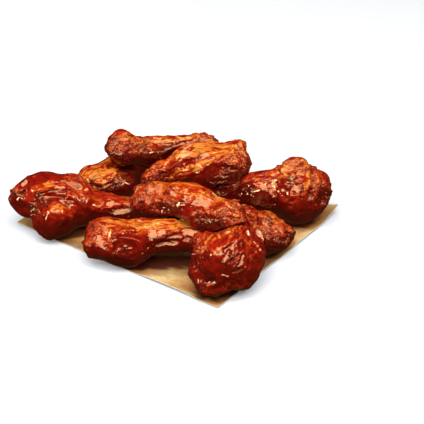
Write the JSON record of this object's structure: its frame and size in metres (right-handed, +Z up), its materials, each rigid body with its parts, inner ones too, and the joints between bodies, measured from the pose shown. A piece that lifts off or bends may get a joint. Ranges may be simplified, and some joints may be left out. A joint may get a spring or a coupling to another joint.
{
  "type": "chicken wings serving",
  "caption": "Serving of sauced chicken wing pieces, drumettes and flats, piled loosely on a sheet of brown paper.",
  "frame": {"origin": "middle of the serving's footprint, on the underside of the paper", "axes": "+X along the long edge of the paper, +Y along its short edge, +Z up from the table"},
  "size_m": [0.1724, 0.145, 0.0467],
  "materials": {
    "sauced_skin": "thick glossy red-orange sauce over roasted, wrinkled skin",
    "kraft_paper": "matt brown paper with fine fibres and a few grease stains"
  },
  "bodies": {
    "root": {"brown_paper": "kraft_paper", "drumette_left": "sauced_skin", "flat_back_left": "sauced_skin", "drumette_right": "sauced_skin", "flat_front_left": "sauced_skin", "flat_right_front": "sauced_skin", "drumette_front": "sauced_skin", "flat_centre": "sauced_skin", "flat_right": "sauced_skin", "flat_top": "sauced_skin"}
  },
  "joints": []
}
